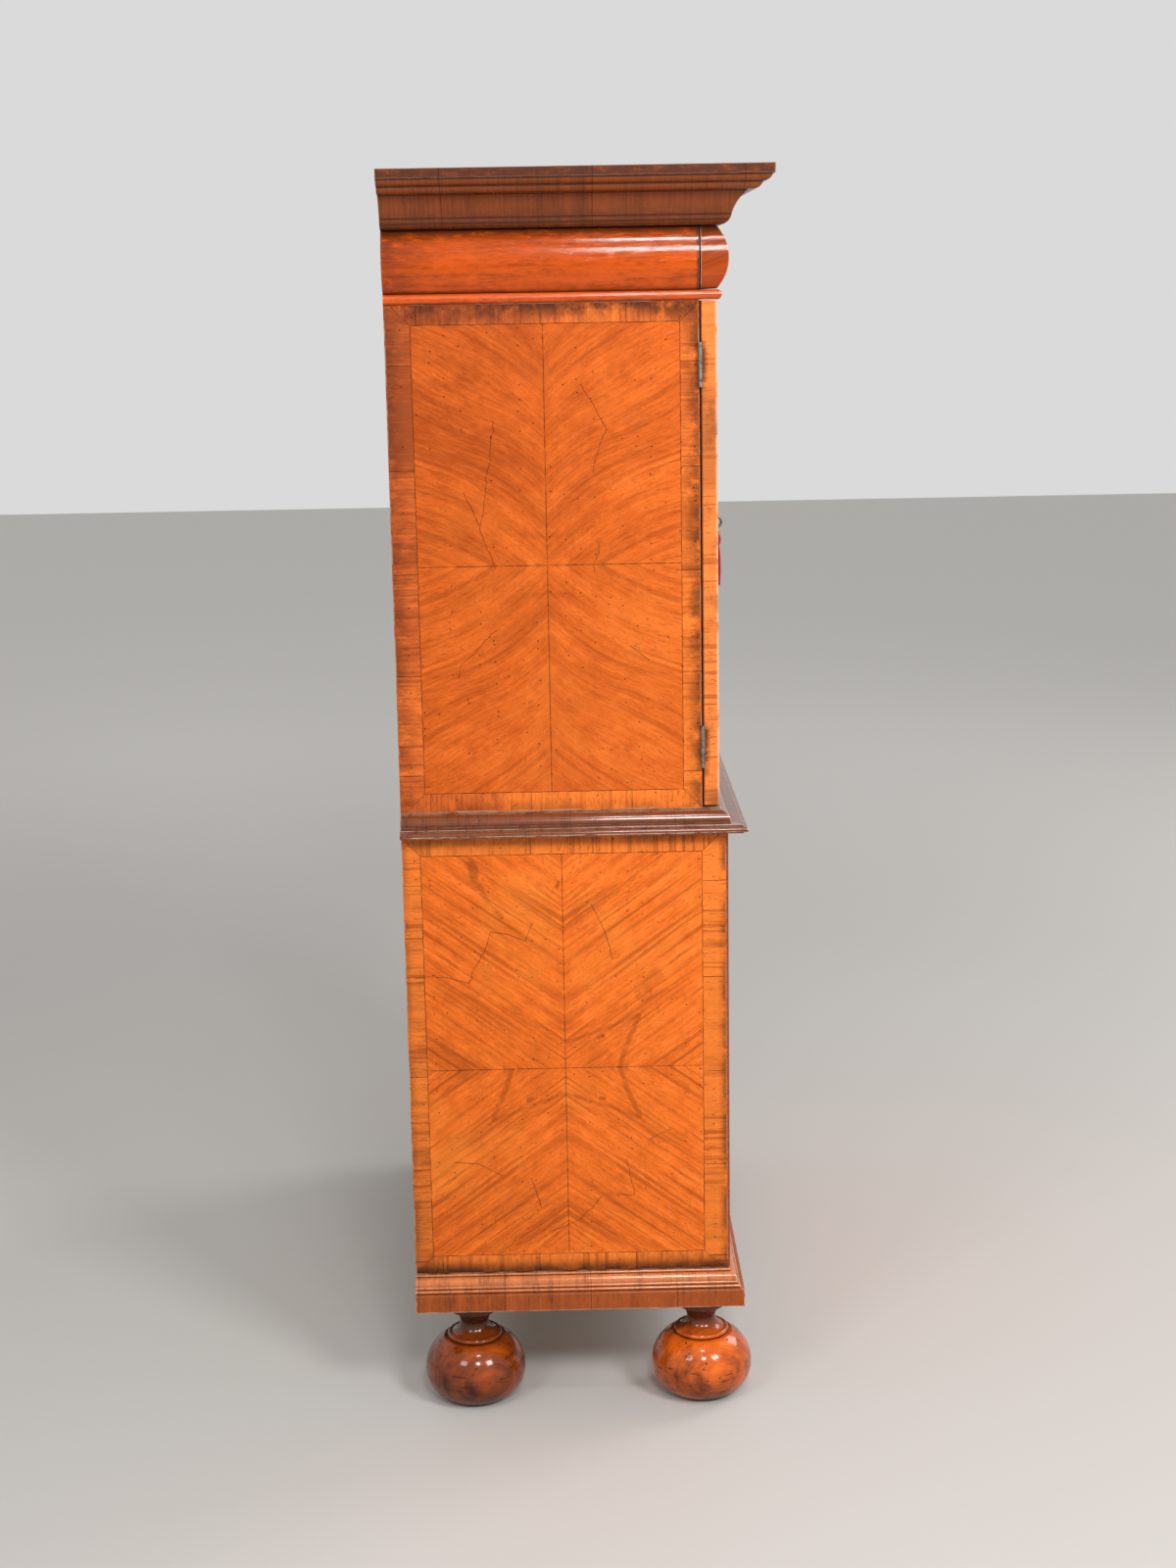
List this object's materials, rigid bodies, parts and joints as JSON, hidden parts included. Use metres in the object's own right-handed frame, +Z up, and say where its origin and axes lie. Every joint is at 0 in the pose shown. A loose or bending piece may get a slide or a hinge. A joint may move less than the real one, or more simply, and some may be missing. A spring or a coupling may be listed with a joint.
{
  "type": "cabinet on chest",
  "caption": "Walnut cabinet on a chest of drawers: hinged overlay doors with shelves, cushion frieze drawer, moulded cornice and waist, drop handles and turned bun feet",
  "frame": {"origin": "on the floor under the middle of the overall box", "axes": "+Z up, the front looks along -Y, width along X"},
  "size_m": [1.062, 0.497, 1.688],
  "materials": {
    "veneer": "quartered and crossbanded walnut veneer, waxed",
    "moulding": "cross-grain walnut moulding, dark and worn at the edges",
    "cushion": "walnut veneer on a swelled frieze, polished",
    "turned": "turned walnut, polished",
    "oak": "plain oak lining",
    "deal": "plain softwood carcase board",
    "brass": "worn cast brass",
    "steel": "old bright iron",
    "tassel": "crimson silk thread"
  },
  "bodies": {
    "carcase": {"chest_side_left": "veneer", "chest_side_right": "veneer", "cabinet_side_left": "veneer", "cabinet_side_right": "veneer", "base_front": "moulding", "base_returns": "moulding", "waist_front": "moulding", "waist_returns": "moulding", "cornice_front": "moulding", "cornice_returns": "moulding", "astragal": "moulding", "opening_beads": "moulding", "frieze_sides": "cushion", "foot_front_left": "turned", "foot_front_right": "turned", "foot_back_left": "turned", "foot_back_right": "turned", "shelves": "oak", "chest_bottom": "deal", "chest_top": "deal", "chest_back": "deal", "drawer_frames": "deal", "cabinet_bottom": "deal", "cabinet_top": "deal", "cabinet_back": "deal", "frieze_floor": "deal", "foot_blocks": "deal", "hinge_leaves_fixed": "steel"},
    "door_left": {"door_left": "veneer", "hinge_leaves_left": "steel", "bolt_keeps": "steel"},
    "bolt_top": {"bolt_top": "steel"},
    "bolt_bottom": {"bolt_bottom": "steel"},
    "door_right": {"door_right": "veneer", "hinge_leaves_right": "steel", "lock_case": "steel", "door_escutcheon": "brass"},
    "lock_bolt": {"lock_bolt": "steel"},
    "key": {"key": "steel"},
    "key_tassel": {"key_tassel": "tassel"},
    "frieze_drawer": {"frieze_drawer_front": "cushion", "frieze_drawer_box": "oak"},
    "drawer_low": {"drawer_low_front": "veneer", "drawer_low_box": "oak", "drawer_low_plates": "brass"},
    "drawer_mid": {"drawer_mid_front": "veneer", "drawer_mid_box": "oak", "drawer_mid_plates": "brass"},
    "drawer_left": {"drawer_left_front": "veneer", "drawer_left_box": "oak", "drawer_left_plates": "brass"},
    "drawer_right": {"drawer_right_front": "veneer", "drawer_right_box": "oak", "drawer_right_plates": "brass"},
    "drawer_low_drop_1": {"drawer_low_drop_1": "brass"},
    "drawer_low_drop_2": {"drawer_low_drop_2": "brass"},
    "drawer_mid_drop_1": {"drawer_mid_drop_1": "brass"},
    "drawer_mid_drop_2": {"drawer_mid_drop_2": "brass"},
    "drawer_left_drop": {"drawer_left_drop": "brass"},
    "drawer_right_drop": {"drawer_right_drop": "brass"}
  },
  "joints": [
    {"name": "door_left_swing", "type": "hinge", "parent": "carcase", "child": "door_left", "pos_m": [-0.4656, -0.1575, 1.19025], "axis": [0, 0, -1], "range_deg": [0, 170]},
    {"name": "door_right_swing", "type": "hinge", "parent": "carcase", "child": "door_right", "pos_m": [0.4656, -0.1575, 1.19025], "axis": [0, 0, 1], "range_deg": [0, 170]},
    {"name": "bolt_top_slide", "type": "slide", "parent": "door_left", "child": "bolt_top", "axis": [0, 0, 1], "range_m": [0, 0.012]},
    {"name": "bolt_bottom_slide", "type": "slide", "parent": "door_left", "child": "bolt_bottom", "axis": [0, 0, -1], "range_m": [0, 0.012]},
    {"name": "key_turn", "type": "hinge", "parent": "door_right", "child": "key", "pos_m": [0.041, -0.2115, 1.19], "axis": [0, 1, 0], "range_deg": [0, 90]},
    {"name": "lock_bolt_throw", "type": "slide", "parent": "door_right", "child": "lock_bolt", "axis": [-1, 0, 0], "range_m": [0, 0.0091]},
    {"name": "tassel_hang", "type": "hinge", "parent": "key", "child": "key_tassel", "pos_m": [0.041, -0.2115, 1.181], "axis": [0, 1, 0], "range_deg": [-91, 1]},
    {"name": "frieze_drawer_slide", "type": "slide", "parent": "carcase", "child": "frieze_drawer", "axis": [0, -1, 0], "range_m": [0, 0.25]},
    {"name": "drawer_low_slide", "type": "slide", "parent": "carcase", "child": "drawer_low", "axis": [0, -1, 0], "range_m": [0, 0.3]},
    {"name": "drawer_mid_slide", "type": "slide", "parent": "carcase", "child": "drawer_mid", "axis": [0, -1, 0], "range_m": [0, 0.3]},
    {"name": "drawer_left_slide", "type": "slide", "parent": "carcase", "child": "drawer_left", "axis": [0, -1, 0], "range_m": [0, 0.3]},
    {"name": "drawer_right_slide", "type": "slide", "parent": "carcase", "child": "drawer_right", "axis": [0, -1, 0], "range_m": [0, 0.3]},
    {"name": "drawer_low_drop_1_swing", "type": "hinge", "parent": "drawer_low", "child": "drawer_low_drop_1", "pos_m": [-0.235, -0.1961, 0.303], "axis": [-1, 0, 0], "range_deg": [0, 80]},
    {"name": "drawer_low_drop_2_swing", "type": "hinge", "parent": "drawer_low", "child": "drawer_low_drop_2", "pos_m": [0.235, -0.1961, 0.303], "axis": [-1, 0, 0], "range_deg": [0, 80]},
    {"name": "drawer_mid_drop_1_swing", "type": "hinge", "parent": "drawer_mid", "child": "drawer_mid_drop_1", "pos_m": [-0.235, -0.1961, 0.524], "axis": [-1, 0, 0], "range_deg": [0, 80]},
    {"name": "drawer_mid_drop_2_swing", "type": "hinge", "parent": "drawer_mid", "child": "drawer_mid_drop_2", "pos_m": [0.235, -0.1961, 0.524], "axis": [-1, 0, 0], "range_deg": [0, 80]},
    {"name": "drawer_left_drop_swing", "type": "hinge", "parent": "drawer_left", "child": "drawer_left_drop", "pos_m": [-0.2295, -0.1961, 0.72], "axis": [-1, 0, 0], "range_deg": [0, 80]},
    {"name": "drawer_right_drop_swing", "type": "hinge", "parent": "drawer_right", "child": "drawer_right_drop", "pos_m": [0.2295, -0.1961, 0.72], "axis": [-1, 0, 0], "range_deg": [0, 80]}
  ],
  "couplings": [
    {"joint": "lock_bolt_throw", "follows": "key_turn", "m_per_rad": 0.0057296},
    {"joint": "tassel_hang", "follows": "key_turn", "ratio": -1}
  ]
}
